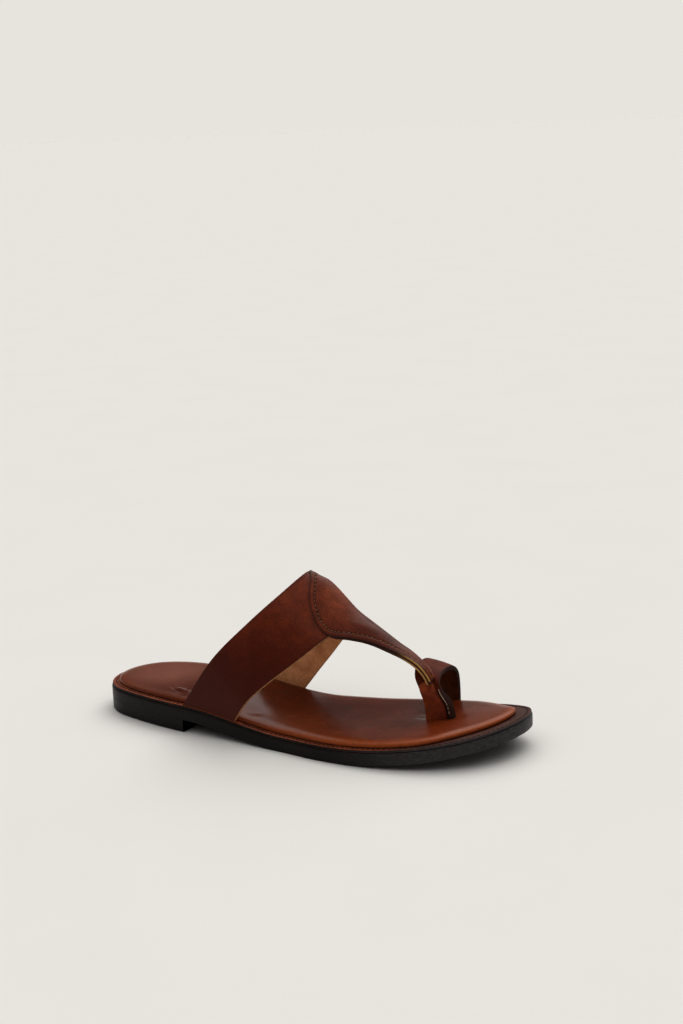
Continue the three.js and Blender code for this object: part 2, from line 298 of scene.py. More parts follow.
def finish_shader(material, colour, roughness, normal, **constants):
    shader = material.node_tree.nodes["Principled BSDF"]
    for key, value in (("Base Color", colour), ("Roughness", roughness), ("Normal", normal)):
        if isinstance(value, bpy.types.NodeSocket):
            material.node_tree.links.new(value, shader.inputs[key])
        else:
            shader.inputs[key].default_value = value
    for key, value in constants.items():
        shader.inputs[key.replace("_", " ")].default_value = value
    return material


sole_black = new_material("sole_black")
place = own_place(sole_black)
wax = noise(sole_black, place, 14, 5)
fine = noise(sole_black, place, 0.9, 4, 0.7)
strokes = noise(sole_black, stretched(sole_black, place, (0.35, 0.35, 1.3)), 0.8, 4, 0.65)
# Painted sheen: the black of the sole's side is painted grey in fine strokes towards the toe.
painted_toe_sheen = maths(sole_black, "MULTIPLY", between(sole_black, strokes, 0.35, 0.7, 0.35, 1.0),
               between(sole_black, axis(sole_black, place, "X"), *TOE_SHEEN_SPAN))
black = ramp(sole_black, wax, (0.3, (0.0034, 0.0021, 0.0012)), (0.7, (0.0070, 0.0046, 0.0032)))
finish_shader(
    sole_black, blend(sole_black, painted_toe_sheen, black, (0.058, 0.055, 0.056, 1)),
    between(sole_black, strokes, 0.3, 0.75, 0.36, 0.58),
    bumps(sole_black, (strokes, 0.25, 0.35), (fine, 0.1, 0.3)),
    Specular_IOR_Level=0.18)

OUTSOLE_PROFILE = [          # inset, height: from the middle of the underside round the edge
    (8, 0), (1.0, 0), (0.05, 0.01), (0, 0.06), (0, 2.4), (0, 4.4), (0, 6.0), (0.15, 6.5),
    (0.5, 6.75), (1.1, 6.8), (8, 6.8)]
outsole = sole_layer("outsole_sheet", sole_edge, OUTSOLE_PROFILE, underside)
outsole.data.materials.append(sole_black)
smooth_shade(outsole)
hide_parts("outsole")
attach(outsole, "root")


# ---- Heel block ---------------------------------------------------------------------------------
# A low block of the same black rubber, nailed and cemented under the outsole and sawn off
# straight across at the breast.
HEEL_TOP = HEEL_HEIGHT - 0.02          # a hair under the outsole
HEEL_PROFILE = [
    (8, 0), (1.2, 0), (0.4, 0.2), (0, 0.8), (0, 3.8), (0, HEEL_TOP - 0.05), (0.05, HEEL_TOP),
    (8, HEEL_TOP)]
heel = sole_layer("heel_block", sole_edge, HEEL_PROFILE, lambda x: 0)
select_only(heel)
bpy.ops.object.mode_set(mode="EDIT")
bpy.ops.mesh.select_all(action="SELECT")
bpy.ops.mesh.bisect(plane_co=on_last(HEEL_LENGTH, 0, 0), plane_no=(1, 0, 0), use_fill=True,
                    clear_outer=True)
bpy.ops.object.mode_set(mode="OBJECT")
heel.data.materials.append(sole_black)
smooth_shade(heel)
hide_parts("heel")
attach(heel, "root")


# ---- Board --------------------------------------------------------------------------------------
# A thin board of brown leather, stained darker round the toe, between outsole and footbed. It shows
# as a narrow rim along the sides and a broad flat one round the toe. It is sewn down near its edge
# all round, except where the band and the toe ring go in.
LAYER_GAP = 0.1              # between two layers of the sole
BOARD_INSET = 0.5
BOARD_THICK = 1.5
SEAM_INSET = 2.2             # from the board's edge to its seam
SEAM_DEPTH = 0.22            # how deep the thread has pulled in
SEAM_PITCH = 3.0
LEG_SPANS = {-1: [(68, 112)], 1: [(68, 114), (186, 211)]}     # where the upper stands on the board
TOE_STAIN = (0.06, 0.095)    # metres along X over which the board darkens
BOARD_PROFILE = [
    (8, 0), (0.5, 0), (0, 0.35), (0, 1.05), (0.2, 1.4), (0.6, BOARD_THICK),
    (SEAM_INSET - 0.8, BOARD_THICK), (SEAM_INSET - 0.3, BOARD_THICK - SEAM_DEPTH * 0.7),
    (SEAM_INSET, BOARD_THICK - SEAM_DEPTH), (SEAM_INSET + 0.3, BOARD_THICK - SEAM_DEPTH * 0.7),
    (SEAM_INSET + 0.8, BOARD_THICK), (8, BOARD_THICK)]


def board_under(x):
    return underside(x) + OUTSOLE_THICK + LAYER_GAP


def board_top(x):
    return board_under(x) + BOARD_THICK


board_brown = new_material("board_brown")
place = own_place(board_brown)
cloud = noise(board_brown, place, 11, 4)
fine = noise(board_brown, place, 0.7, 5, 0.7)
stained = between(board_brown, axis(board_brown, place, "X"), *TOE_STAIN)
toe_brown = ramp(board_brown, cloud, (0.3, (0.045, 0.014, 0.009)), (0.7, (0.090, 0.032, 0.021)))
side_brown = ramp(board_brown, cloud, (0.3, (0.14, 0.030, 0.011)), (0.7, (0.26, 0.062, 0.022)))
finish_shader(
    board_brown, blend(board_brown, stained, side_brown, toe_brown),
    between(board_brown, fine, 0.3, 0.7, 0.42, 0.6),
    bumps(board_brown, (cloud, 0.4, 0.3), (fine, 0.2, 0.5)),
    Specular_IOR_Level=0.1)

board_edge = inset_edge(sole_edge, lambda x: BOARD_INSET)
board = sole_layer("board_leather", board_edge, BOARD_PROFILE, board_under)
board.data.materials.append(board_brown)
board.data.materials.append(sole_black)
for face in board.data.polygons:
    if abs(face.normal.z) < 0.75:
        face.material_index = 1          # the cut edge is inked black like the outsole's
smooth_shade(board)
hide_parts("board")
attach(board, "root")


def thread_material(name, dark, light, twist=0.5):
    """Waxed thread: the ply shows as fine light and dark bands."""
    material = new_material(name)
    ply = noise(material, own_place(material), twist, 2)
    return finish_shader(material, ramp(material, ply, (0.35, dark), (0.65, light)), 0.6,
                         bumps(material, (ply, 0.1, 0.5)), Specular_IOR_Level=0.3)


def sew(name, seam, thread, length, width, sink=0.3):
    """One stitch for each (place, direction, up) of the seam, joined into one piece. Length and
    width are in millimetres, and sink is the share of the width that the leather takes in."""
    bpy.ops.object.select_all(action="DESELECT")
    bpy.ops.mesh.primitive_uv_sphere_add(segments=8, ring_count=6, radius=0.5)
    stitch = bpy.context.object
    stitch.data.transform(Matrix.Rotation(math.pi / 2, 4, "Y"))
    stitch.data.transform(Matrix.Diagonal((length / 1000, width / 1000, width / 1000, 1)))
    stitches = []
    for place, direction, up in seam:
        side = up.cross(direction).normalized()
        turn = Matrix((direction, side, direction.cross(side))).transposed().to_4x4()
        lift = up * width * (0.5 - sink) / 1000
        copy = stitch.copy()
        copy.data = stitch.data.copy()
        copy.data.transform(Matrix.Translation(place + lift) @ turn)
        bpy.context.collection.objects.link(copy)
        stitches.append(copy)
    bpy.data.objects.remove(stitch)
    select_only(stitches[0])
    for copy in stitches:
        copy.select_set(True)
    bpy.ops.object.join()
    row = bpy.context.object
    row.name = name
    row.data.materials.append(thread)
    bpy.ops.object.shade_smooth()
    return row


seam_line = inset_edge(board_edge, lambda x: SEAM_INSET)
seam_count = round(sum((b - a).length for a, b in zip(seam_line, seam_line[1:])) / SEAM_PITCH)
seam_points = evenly(seam_line, seam_count)
board_seam = []
for i, p in enumerate(seam_points):
    ahead = seam_points[(i + 1) % seam_count]
    behind = seam_points[i - 1]
    side = 1 if p.y > 0 else -1
    if any(start < p.x < end for start, end in LEG_SPANS[side]):
        continue
    rise = board_top(ahead.x) - board_top(behind.x)
    direction = Vector((ahead.x - behind.x, ahead.y - behind.y, rise)).normalized()
    board_seam.append((on_last(p.x, p.y, board_top(p.x) - SEAM_DEPTH), direction, Vector((0, 0, 1))))
brown_thread = thread_material("brown_thread", (0.006, 0.003, 0.002), (0.022, 0.010, 0.006))
board_stitches = sew("board_stitches", board_seam, brown_thread, length=2.3, width=0.7)
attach(board_stitches, "root")


# ---- Footbed ------------------------------------------------------------------------------------
# Polished brown leather pulled over a thin foam pad, its edge rolled under. The rolled edge is
# painted lighter orange towards the toe, partly where the burnish has worn off and partly as a
# painted highlight, and the heel seat has a pale patch of painted sheen. The leather gathers in
# small pinches behind the band's outer foot.
FOOTBED_INSET = {"heel": 4.6, "side": 3.8, "toe": 9}
HEEL_INSET_END = 34          # the heel's inset runs out at this x
TOE_INSET_START = 0.83 * LENGTH
TOE_INSET_RUN = 0.13 * LENGTH
FOOTBED_BELLY = 1.2          # the height above the board where its rolled edge is widest
FOOTBED_CROWN = 0.5
CROWN_REACH = 30             # from the edge inwards
POST_DIP = (206, 222, 3, 4, 0.9)       # x to x, y, radius and depth: where the toe post goes in
HEEL_SEAT = (32, 1, 26, 22, 0.35)      # x, y, half length, half width, depth
DENT = (112, -26.5, 5.5, 0.9)          # x, y, radius, depth: where the band's front foot pulls
PINCHES = [                            # x, y, direction in degrees, length, depth
    (60, -23.5, -24, 11, 1.5), (65, -27, -12, 9, 1.2), (55, -19.5, -48, 11, 0.7),
    (67, -20.5, -30, 8, 0.8)]
PINCH_TROUGH = 0.9           # half width
PINCH_RIDGE = (0.6, 1.6, 1.4)          # share of the depth, place beside the trough, half width
FOOTBED_PROFILE = [
    (7, 0), (1.0, 0), (0.3, 0.15), (0, 0.5), (0, FOOTBED_BELLY), (0.15, 1.65), (0.5, 2.1),
    (1.0, 2.43), (2.0, 2.8), (3.5, 3.13), (5.0, 3.32), (7.0, 3.4)]


def footbed_inset(x):
    to_heel = ease((HEEL_INSET_END - x) / HEEL_INSET_END)
    sides = mix(FOOTBED_INSET["side"], FOOTBED_INSET["heel"], to_heel)
    to_toe = ease((x - TOE_INSET_START) / TOE_INSET_RUN)
    return sides + (FOOTBED_INSET["toe"] - FOOTBED_INSET["side"]) * to_toe


def tree_of(points):
    tree = KDTree(len(points))
    for i, p in enumerate(points):
        tree.insert(p, i)
    tree.balance()
    return tree


footbed_edge = evenly(inset_edge(sole_edge, footbed_inset), RING)
footbed_rim = tree_of(footbed_edge)


def bell(distance, width):
    return math.exp(-(distance / width) ** 2)


def footbed_rise(x, y):
    """The crown, the dip round the toe post, a shallow seat for the heel, the dent and pinches."""
    inwards = footbed_rim.find(Vector((x, y, 0)))[2]
    rise = FOOTBED_CROWN * ease(inwards / CROWN_REACH)
    start, end, middle, radius, depth = POST_DIP
    rise -= depth * bell(math.hypot(x - min(max(x, start), end), y - middle), radius)
    seat_x, seat_y, half_length, half_width, depth = HEEL_SEAT
    rise -= depth * (1 - ease(math.hypot((x - seat_x) / half_length, (y - seat_y) / half_width)))
    dent_x, dent_y, radius, depth = DENT
    rise -= depth * bell(math.hypot(x - dent_x, y - dent_y), radius)
    share, beside, half_ridge = PINCH_RIDGE
    for pinch_x, pinch_y, turn, reach, depth in PINCHES:
        turn = math.radians(turn)
        along = (x - pinch_x) * math.cos(turn) + (y - pinch_y) * math.sin(turn)
        across = (y - pinch_y) * math.cos(turn) - (x - pinch_x) * math.sin(turn)
        near = bell(along, reach / 2) * ease(inwards / 2)
        rise += near * depth * (share * bell(across - beside, half_ridge)
                                - bell(across, PINCH_TROUGH))
    return rise


def note_distance(piece, rim):
    """Writes each point's distance to the nearest rim point, in metres, as attribute rim."""
    attribute = piece.data.attributes.new("rim", "FLOAT", "POINT")
    attribute.data.foreach_set("value", [rim.find(v.co)[2] for v in piece.data.vertices])


def leather(name, deep, body, warm, patch=34, mottled=0.2, low=None, wear_and_sheen=None, rim=None,
            rim_start=None, seam=None, gloss=(0.34, 0.5), grain=0.8, depth=0.1, specular=0.16,
            stretch=(1, 1, 1)):
    """Burnished leather: clouds of dark and warm brown over the body colour, fine pores and
    creases. Painted over the clouds: low (from z, to z, colour, amount), a round patch of painted
    sheen (middle, radius, colour, amount), rim (width, colour, amount) along the edge, growing
    over rim_start (from x, to x) and broken into spots, and seam (distance from the edge, colour,
    amount). Sizes are in millimetres."""
    material = new_material(name)
    place = own_place(material)
    clouds = noise(material, place, patch, 3, 0.5)
    mottle = noise(material, place, 5, 4, 0.6)
    specks = noise(material, place, 0.9, 4, 0.75)
    grained = stretched(material, place, stretch)
    pores = node(material, "ShaderNodeTexVoronoi", {"feature": "SMOOTH_F1"}, Vector=grained,
                 Scale=1000 / grain)["Distance"]
    creases = noise(material, grained, 2.2 * grain, 4, 0.6)
    colour = ramp(material, clouds, (0.34, deep), (0.5, body), (0.68, warm))
    shade = maths(material, "MULTIPLY",
                  between(material, mottle, 0.25, 0.75, 1 - mottled, 1 + mottled),
                  between(material, specks, 0.34, 0.66, 1 - mottled, 1 + 1.3 * mottled))
    colour = blend(material, 1.0, colour, node(material, "ShaderNodeCombineColor", _0=shade,
                                               _1=shade, _2=shade)[0], "MULTIPLY")
    if low:
        start, end, tone, amount = low
        share = between(material, axis(material, place, "Z"), start / 1000, end / 1000, amount, 0.0)
        colour = blend(material, share, colour, (*tone, 1))
    # A round patch painted over the colour: on the footbed it is painted sheen.
    if wear_and_sheen:
        middle, radius, tone, amount = wear_and_sheen
        away = node(material, "ShaderNodeVectorMath", {"operation": "DISTANCE"}, _0=place,
                    _1=on_last(*middle))["Value"]
        share = between(material, away, 0.2 * radius / 1000, radius / 1000, amount, 0.0)
        colour = blend(material, share, colour, (*tone, 1))
    if rim or seam:
        distance = node(material, "ShaderNodeAttribute", {"attribute_name": "rim"})["Fac"]
    if rim:
        width, tone, amount = rim
        share = between(material, distance, 0.0, width / 1000, amount, 0.0)
        if rim_start:
            start, end = (on_last(x, 0, 0).x for x in rim_start)
            along = between(material, axis(material, place, "X"), start, end, 0.25, 1.0)
            # The rim breaks into spots; on the footbed this lighter rim is partly worn burnish and
            # partly painted highlight.
            rubbed_and_highlit = between(material, specks, 0.35, 0.6, 0.6, 1.15)
            share = maths(material, "MULTIPLY", share, maths(material, "MULTIPLY", along, rubbed_and_highlit))
        colour = blend(material, share, colour, (*tone, 1))
    if seam:
        inset, tone, amount = seam
        off = maths(material, "ABSOLUTE", maths(material, "SUBTRACT", distance, inset / 1000))
        share = between(material, off, 0.00015, 0.0009, amount, 0.0)
        colour = blend(material, share, colour, (*tone, 1))
    return finish_shader(
        material, colour, between(material, clouds, 0.35, 0.65, *gloss),
        bumps(material, (creases, 0.9 * depth, 0.5), (pores, depth, 0.6)),
        Specular_IOR_Level=specular)


footbed_leather = leather(
    "footbed_leather", deep=(0.075, 0.0110, 0.0022), body=(0.105, 0.0175, 0.0035),
    warm=(0.155, 0.029, 0.0062), patch=70, mottled=0.12,
    # The pale pinkish round patch on the heel seat is painted sheen.
    wear_and_sheen=((30, 4, 18), 44, (0.30, 0.12, 0.08), 0.5),
    # The lighter orange of the rolled edge is partly worn burnish and partly a painted highlight.
    rim=(7, (0.33, 0.080, 0.018), 0.85), rim_start=(110, 190),
    gloss=(0.2, 0.28), grain=0.6, depth=0.03, specular=0.12)
footbed = sole_layer("footbed_pad", footbed_edge, FOOTBED_PROFILE,
                     lambda x: board_top(x) + LAYER_GAP, footbed_rise)
finer = footbed.modifiers.new("finer", "SUBSURF")
finer.levels = finer.render_levels = 1
apply_modifiers(footbed)
belly_line = [on_last(p.x, p.y, board_top(p.x) + FOOTBED_BELLY) for p in footbed_edge]
note_distance(footbed, tree_of(belly_line))
footbed.data.materials.append(footbed_leather)
smooth_shade(footbed, 60)
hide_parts("footbed")
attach(footbed, "root")


# ---- Band and strap -----------------------------------------------------------------------------
# One cut of burnished brown leather: a broad band over the instep whose middle runs forward as a
# strap to the toe post. Its two feet are glued between footbed and board.
FOOT_DEPTH = 1.0             # the feet go down this far into the board
LEG_INSET = 1.0
LEATHER_THICK = 1.1
EDGE_ROUNDING = 0.3          # of a raw edge, on each side
RIDGE_RISE = 2.5             # the ridge bows up between the band's two edges
BAND_MIDDLE = 0.45           # row 1, as a share of the way from the rear edge to the front edge
BAND_ROWS = 2                # row 0 is the rear edge of the band, row 2 its front edge
FOOT_LANE = 4                # lane 0 is the ridge, 1 the strap's inner edge, 4 the inner foot
STRAP_END = 9.0              # the row where the strap is cut off, at the tip of the overlay


def width_at(x):
    """Outer and inner y of the sole's edge at x."""
    crossings = []
    for a, b in zip(sole_edge, sole_edge[1:] + sole_edge[:1]):
        if (a.x - x) * (b.x - x) <= 0 and a.x != b.x:
            crossings.append(mix(a.y, b.y, (x - a.x) / (b.x - a.x)))
    return min(crossings), max(crossings)


def foot_height(x):
    return board_top(x) - FOOT_DEPTH


def band_foot(x, side):
    outer, inner = width_at(x)
    y = outer + LEG_INSET if side < 0 else inner - LEG_INSET
    return (x, y, foot_height(x))


BAND_REAR = [
    band_foot(70, -1), (90, -32, 44), (109, -24.5, 64), (124, -13, 79.3), (132.5, 6.5, 89.6),
    (121, 18, 76), (106, 24.5, 61.5), (89, 29.5, 40.5), band_foot(70, 1)]
BAND_FRONT = [
    band_foot(106.5, -1), (115.6, -36.5, 24.5), (145, -24, 49.8), (157, -15.5, 60.5),
    (162, 4.5, 68.8), (150, 21, 54.5), (136.5, 26, 39), (122, 28, 22.5), band_foot(112, 1)]
STRAP = [                    # outer edge, ridge and inner edge, from the band to the toe post
    ((167, -12, 59), (170.5, 4.5, 63.2), (162, 17.5, 54)),
    ((177, -7.6, 56.8), (180, 4.5, 57.8), (174, 14, 50.8)),
    ((187, -4.8, 53.2), (188.5, 4.2, 53), (184.5, 12.2, 47.8)),
    ((196.5, -3.8, 50), (197, 4, 48.8), (194, 11, 44.6)),
    ((204.5, -3.6, 46), (203.8, 3.4, 44.6), (201.5, 9.2, 42)),
    ((209.4, -3.4, 41.2), (208.8, 2.4, 40.4), (207, 7, 39)),
    ((212.2, -3, 36), (211.6, 1, 36), (210.4, 4.8, 36)),
    ((214.2, -1, 30.6), (213, 1.6, 31.2), (211.4, 3.8, 32))]
LAST_ROW = BAND_ROWS + len(STRAP)
rear_edge = curve_through(BAND_REAR)
front_edge = curve_through(BAND_FRONT)
strap_rows = [[Vector(p) for p in row] for row in STRAP]


def row_point(row, lane):
    """A knot of the form. Past either end the rows go straight on, for the curve to start from."""
    if row < 0:
        return 2 * row_point(0, lane) - row_point(1, lane)
    last = LAST_ROW if abs(lane) <= 1 else BAND_ROWS
    if row > last:
        return 2 * row_point(last, lane) - row_point(last - 1, lane)
    t = (lane + FOOT_LANE) / (2 * FOOT_LANE)
    if row == 0:
        return rear_edge(t)
    if row == BAND_ROWS:
        return front_edge(t)
    if row == 1:
        lift = Vector((0, 0, RIDGE_RISE * max(0, 1 - lane * lane)))
        return rear_edge(t).lerp(front_edge(t), BAND_MIDDLE) + lift
    outer, ridge, inner = strap_rows[row - BAND_ROWS - 1]
    return (outer * (lane * lane - lane) / 2 + ridge * (1 - lane * lane)
            + inner * (lane * lane + lane) / 2)


def form(row, lane):
    """The skin's right side, in drawing millimetres."""
    last = LAST_ROW if abs(lane) <= 1 else BAND_ROWS
    i = min(max(int(row), 0), last - 1)
    return spline(*(row_point(i + k, lane) for k in (-1, 0, 1, 2)), row - i)


def sheet_of(name, across, along, put):
    """A grid of faces, with u along it and v across it from 0 to 1 and put(u, v) its points."""
    bpy.ops.object.select_all(action="DESELECT")
    bpy.ops.mesh.primitive_grid_add(x_subdivisions=along, y_subdivisions=across, size=1)
    piece = bpy.context.object
    piece.name = name
    for v in piece.data.vertices:
        v.co = put(v.co.x + 0.5, v.co.y + 0.5)
    return piece


def lay(piece, lift):
    """Turns a sheet's drawing places into metres, lifted along its own normals."""
    mesh = piece.data
    mesh.update()
    moved = [v.co + v.normal * (lift(v) if callable(lift) else lift) for v in mesh.vertices]
    for v, co in zip(mesh.vertices, moved):
        v.co = on_last(*co)


def thicken(piece, thick, rounding, skin, edge_skin):
    """Gives a sheet its wall, below its right side, with rounded raw edges in the edge skin."""
    piece.data.materials.append(skin)
    piece.data.materials.append(edge_skin)
    wall = piece.modifiers.new("wall", "SOLIDIFY")
    wall.thickness = thick / 1000
    wall.offset = -1
    wall.use_even_offset = True
    wall.material_offset_rim = 1
    edge = piece.modifiers.new("edge", "BEVEL")
    edge.width = rounding / 1000
    edge.segments = 2
    edge.limit_method = "ANGLE"
    edge.angle_limit = math.radians(50)
    finer = piece.modifiers.new("finer", "SUBSURF")
    finer.levels = finer.render_levels = 1
    apply_modifiers(piece)


BAND_CELLS = 44              # from the rear edge to the front edge
STRAP_CELLS = 56             # along the strap
LANE_CELLS = 144             # from foot to foot
OFFCUT = -500                # a height that marks what is cut away beside the strap
SIDE_SLACK = 0.01            # how far past an edge, in rows or lanes, a point counts as outside


def band_row(u, last):
    """The row at share u of the cells, first over the band and then over the strap."""
    cells = u * (BAND_CELLS + STRAP_CELLS)
    if cells <= BAND_CELLS:
        return cells / BAND_CELLS * BAND_ROWS
    return mix(BAND_ROWS, last, (cells - BAND_CELLS) / STRAP_CELLS)


def band_and_strap(name, lift, last, shy=0.0):
    """The band with its strap. shy draws its free edges back by that many rows and lanes."""
    def put(u, v):
        row = band_row(u, last)
        lane = mix(-FOOT_LANE, FOOT_LANE, v)
        if row > BAND_ROWS + SIDE_SLACK and abs(lane) > 1 + SIDE_SLACK:
            return (row, lane, OFFCUT)
        if row > BAND_ROWS:
            lane *= 1 - shy
        return form(min(max(row, shy), last), lane)
    piece = sheet_of(name, LANE_CELLS, BAND_CELLS + STRAP_CELLS, put)
    select_points(piece, lambda co: co.z < OFFCUT + 1)
    bpy.ops.object.mode_set(mode="EDIT")
    bpy.ops.mesh.delete(type="VERT")
    bpy.ops.object.mode_set(mode="OBJECT")
    lay(piece, lift)
    return piece


def open_rims(piece):
    """The points along a sheet's free edges, as a tree to measure from."""
    edge_uses = {}
    for face in piece.data.polygons:
        for key in face.edge_keys:
            edge_uses[key] = edge_uses.get(key, 0) + 1
    rim = sorted({i for key, uses in edge_uses.items() if uses == 1 for i in key})
    return tree_of([piece.data.vertices[i].co.copy() for i in rim])


def raw_edge(name, dark, bare=None, spans=()):
    """Cut leather edge, burnished dark, with its bare fibre showing along spans of x in metres:
    where each starts, is full, starts to end and ends."""
    material = new_material(name)
    place = own_place(material)
    fibre = noise(material, place, 0.5, 5, 0.7)
    colour = (*dark, 1)
    if spans:
        along = axis(material, place, "X")
        wear_and_sheen = 0.0
        for start, full, fading, end in spans:
            span = maths(material, "MULTIPLY", between(material, along, start, full),
                         between(material, along, fading, end, 1.0, 0.0))
            wear_and_sheen = maths(material, "ADD", wear_and_sheen, span)
        colour = blend(material, wear_and_sheen, colour, (*bare, 1))
        colour = blend(material, between(material, fibre, 0.35, 0.7, 0.0, 0.7), colour, (*dark, 1))
    return finish_shader(material, colour, 0.8, bumps(material, (fibre, 0.2, 0.7)),
                         Specular_IOR_Level=0.25)


upper_leather = leather(
    "upper_leather", deep=(0.10, 0.0125, 0.0030), body=(0.17, 0.029, 0.0075),
    warm=(0.32, 0.085, 0.026), patch=70, low=(30, 80, (0.056, 0.0055, 0.0012), 0.9),
    rim=(2.0, (0.06, 0.010, 0.003), 0.6), gloss=(0.36, 0.48), grain=0.9, depth=0.17)
FRONT_EDGE = (-0.060, -0.025, 0.014, 0.032)
STRAP_TIP = (0.060, 0.072, 0.200, 0.201)
band_edge = raw_edge("band_raw_edge", (0.05, 0.014, 0.006), (0.62, 0.30, 0.17), [FRONT_EDGE])
band = band_and_strap("band_and_strap", 0, STRAP_END)
band_rims = open_rims(band)
thicken(band, LEATHER_THICK, EDGE_ROUNDING, upper_leather, band_edge)
note_distance(band, band_rims)
smooth_shade(band, 50)
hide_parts("upper")
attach(band, "root")


# ---- Lining -------------------------------------------------------------------------------------
# Tan split leather glued to the inside of the band and strap, its rough flesh side to the foot. It
# is cut a hair smaller than the leather, and its raw edge is pale at the band's front and the tip.
LINING_THICK = 1.05
LINING_ROUNDING = 0.25
GLUE_GAP = 0.03              # between a leather and its lining
LINING_SHY = 0.012           # its free edges stop this many rows short of the leather's
suede = new_material("lining_suede")
place = own_place(suede)
cloud = noise(suede, place, 9, 4)
nap = noise(suede, place, 0.5, 4, 0.7)
hairs = noise(suede, stretched(suede, place, (1, 1, 0.4)), 0.5, 4)
tan = ramp(suede, cloud, (0.3, (0.66, 0.30, 0.12)), (0.7, (0.98, 0.54, 0.27)))
tan = blend(suede, between(suede, nap, 0.34, 0.56, 0.55, 0.0), tan, (0.30, 0.11, 0.04, 1))
tan = blend(suede, between(suede, nap, 0.56, 0.7, 0.0, 0.5), tan, (1.0, 0.74, 0.44, 1))
finish_shader(suede, tan, 0.92, bumps(suede, (nap, 0.45, 0.8), (hairs, 0.2, 0.5)),
              Specular_IOR_Level=0.15, Sheen_Weight=0.25, Sheen_Roughness=0.5)
lining_edge = raw_edge("lining_raw_edge", (0.05, 0.018, 0.008), (0.66, 0.38, 0.14),
                       [FRONT_EDGE, STRAP_TIP])
lining = band_and_strap("band_lining", -LEATHER_THICK - GLUE_GAP, STRAP_END, LINING_SHY)
thicken(lining, LINING_THICK, LINING_ROUNDING, suede, lining_edge)
smooth_shade(lining, 50)
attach(lining, "root")


# ---- Toe ring -----------------------------------------------------------------------------------
# A strip of the same leather with a smooth lining: up the inner face of the toe post, over the
# big toe and down to the inner edge of the sole.
POST_Y = 0.8
POST_THICK = 4.6             # the toe post, through all its layers
RING_THICK = 1.2
RING_LINING = 1.15
RING_ROUNDING = 0.28
RING_CROWN = 0.5             # how much the strip is rounded across
RING_LEAVES = (0.14, 0.2)    # where it starts to come out of the post, and over what share
RING_CELLS = (16, 72)        # across and along
RING_REAR = [
    (206, POST_Y, foot_height(206)), (205, POST_Y, 23.5), (202.6, 0.6, 31), (199.4, 3.4, 37),
    (196.8, 10, 40.6), (195.4, 19.5, 41.4), (194, 30, 39.2), (191.2, 37.6, 33), (189.2, 40.6, 25),
    band_foot(188, 1)]
RING_FRONT = [
    (224, POST_Y, foot_height(224)), (221.4, POST_Y, 23.5), (217.6, 0.4, 29.6), (214.8, 2.8, 34.8),
    (212.6, 9.4, 38.2), (211.4, 18.6, 38.8), (210.6, 29, 36.8), (209.6, 36.4, 31.4),
    (208.6, 40, 24), band_foot(207.5, 1)]
ring_rear = curve_through(RING_REAR)
ring_front = curve_through(RING_FRONT)


def ring_point(t, u):
    """A point of the ring's outer side: t along it from the post's foot, u from rear to front."""
    return ring_rear(t).lerp(ring_front(t), u)


def ring_normal(t, u):
    along = ring_point(min(t + 0.01, 1), u) - ring_point(max(t - 0.01, 0), u)
    across = ring_point(t, 1) - ring_point(t, 0)
    return across.cross(along).normalized()


def ring_strip(name, sink, thick, skin):
    """A layer of the ring, sink below its outer side; on the post it runs behind the wrap."""
    def put(u, v):
        start, share = RING_LEAVES
        wrapped = 1 - ease((u - start) / share)
        depth = sink + wrapped * (POST_THICK - RING_THICK - RING_LINING)
        crown = RING_CROWN * (1 - (2 * v - 1) ** 2) * (1 - wrapped)
        return ring_point(u, 1 - v) + ring_normal(u, 1 - v) * (crown - depth)
    piece = sheet_of(name, *RING_CELLS, put)
    lay(piece, 0)
    rims = open_rims(piece)
    thicken(piece, thick, RING_ROUNDING, skin, inked_edge)
    note_distance(piece, rims)
    smooth_shade(piece, 50)
    return piece


ring_leather = leather(
    "ring_leather", deep=(0.075, 0.0105, 0.0026), body=(0.11, 0.0175, 0.0045),
    warm=(0.17, 0.033, 0.008), patch=30, low=(8, 26, (0.05, 0.008, 0.003), 0.6),
    rim=(2.0, (0.035, 0.007, 0.003), 0.6), gloss=(0.42, 0.52), grain=0.9, depth=0.14,
    specular=0.05, stretch=(1, 0.5, 1.6))
ring_lining_leather = leather(
    "ring_lining_leather", deep=(0.055, 0.014, 0.005), body=(0.10, 0.026, 0.008),
    warm=(0.17, 0.05, 0.013), patch=20, rim=(1.5, (0.03, 0.008, 0.004), 0.5),
    gloss=(0.34, 0.46), grain=0.7, depth=0.05)
inked_edge = raw_edge("inked_raw_edge", (0.028, 0.008, 0.004))
ring = ring_strip("toe_ring", 0, RING_THICK, ring_leather)
ring_inside = ring_strip("toe_ring_lining", RING_THICK + GLUE_GAP, RING_LINING,
                         ring_lining_leather)
for piece in (ring, ring_inside):
    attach(piece, "root")


# ---- Toe post wrap ------------------------------------------------------------------------------
# A soft patch of warm brown leather round the outer side of the post, padded by the folded strap
# end inside it, and a stitched flange where the layers are sewn together along the front.
WRAP_TOP = 0.325             # shares of the ring's length, at the wrap's front and at its rear edge
WRAP_TOP_REAR = 0.265
WRAP_SLOPE_START = 0.3       # share of the wrap's width where its top starts to slope down
WRAP_SPAN = (0.80, 0.04)     # shares of the ring's width, counted from its rear edge
WRAP_SINK = 1.0              # its edges lie this far inside the ring's outer side
WRAP_BULGE = 3.0
WRAP_TAPER = (0.75, 0.35)    # share of its height where the bulge starts to shrink, and by how much
WRAP_THICK = 1.25
WRAP_CELLS = (18, 34)        # across and along
FLANGE_TOP = 0.30
FLANGE_SPAN = (0.99, 0.80)
FLANGE_SEAM = 0.90           # where its stitches run, as a share of the ring's width
FLANGE_SINK = 0.95
FLANGE_THICK = 1.3
FLANGE_CELLS = (6, 34)
POST_SEAM_SPAN = (0.07, 0.27)          # shares of the ring's length
POST_SEAM_SINK = 0.9
POST_STITCHES = 9


